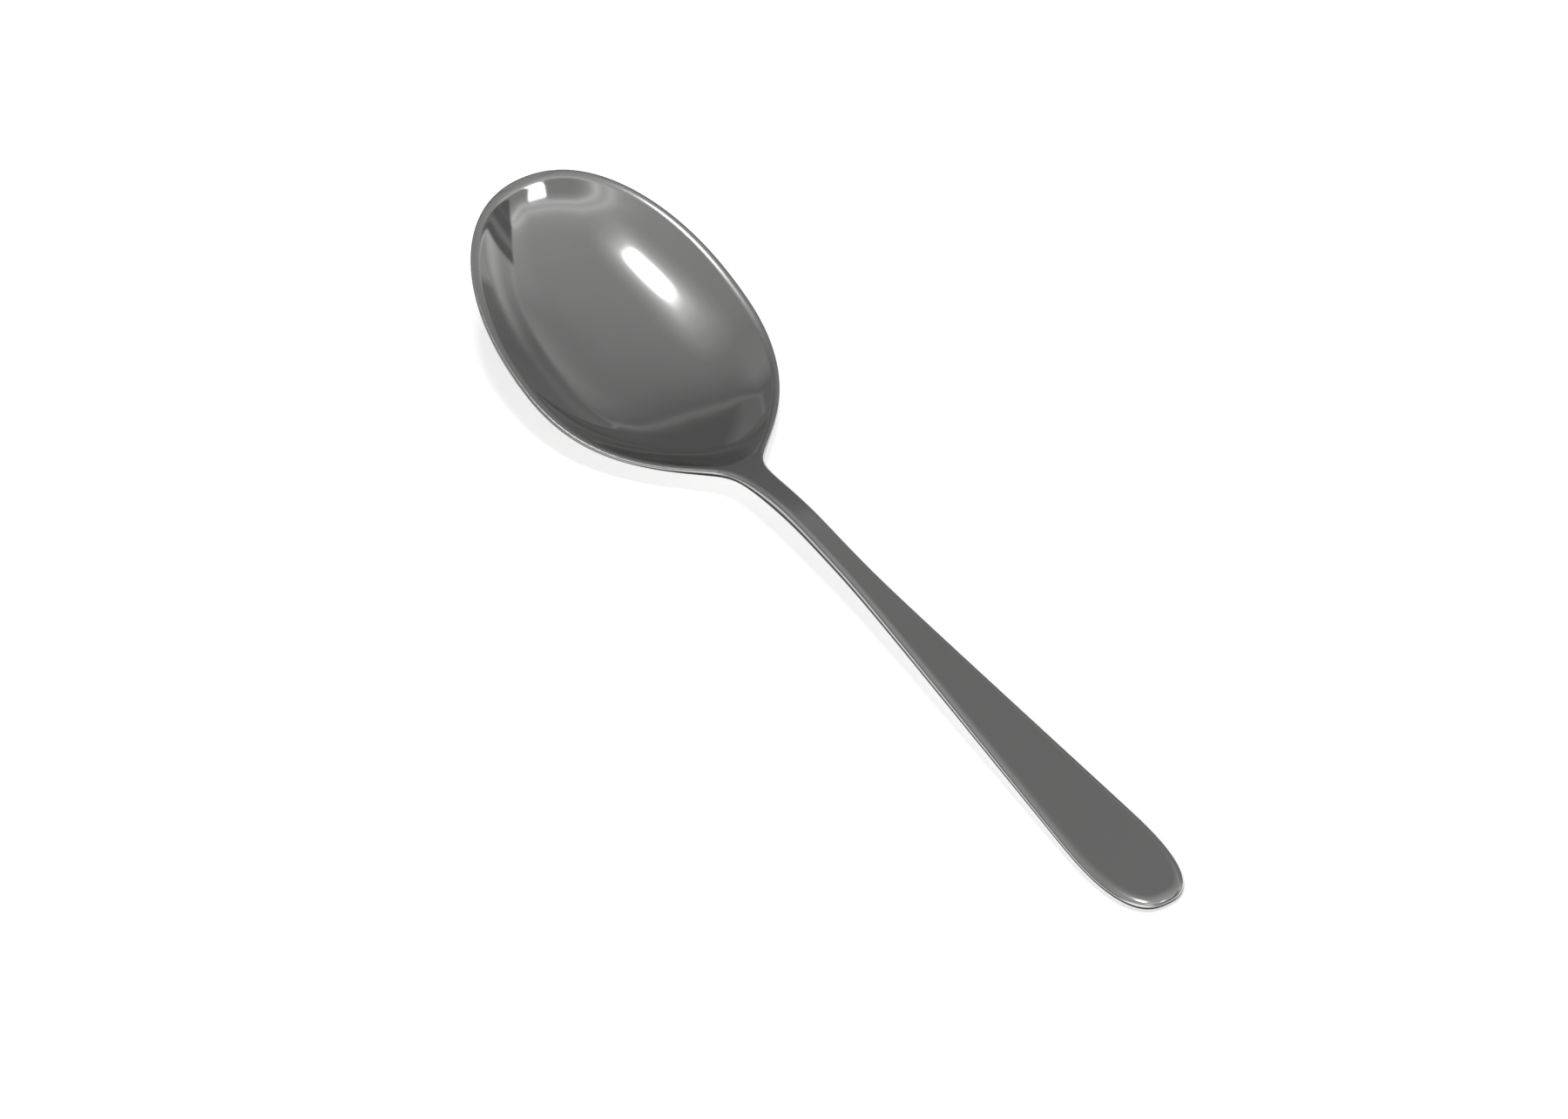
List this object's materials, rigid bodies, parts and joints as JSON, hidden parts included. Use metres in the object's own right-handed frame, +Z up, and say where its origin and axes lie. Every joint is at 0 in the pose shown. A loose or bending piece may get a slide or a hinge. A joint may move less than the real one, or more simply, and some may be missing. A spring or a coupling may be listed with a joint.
{
  "type": "table spoon",
  "caption": "One-piece polished steel table spoon with an oval dished bowl, a slim neck and a handle that widens to a rounded end, for scooping, stirring and serving food.",
  "frame": {"origin": "middle of the spoon's box in plan, on the surface that the spoon lies on", "axes": "+X along the spoon towards the end of the handle, +Z up out of the bowl's hollow"},
  "size_m": [0.2, 0.0474, 0.0222],
  "materials": {
    "steel": "mirror polished"
  },
  "bodies": {
    "root": {"spoon": "steel"}
  },
  "joints": []
}
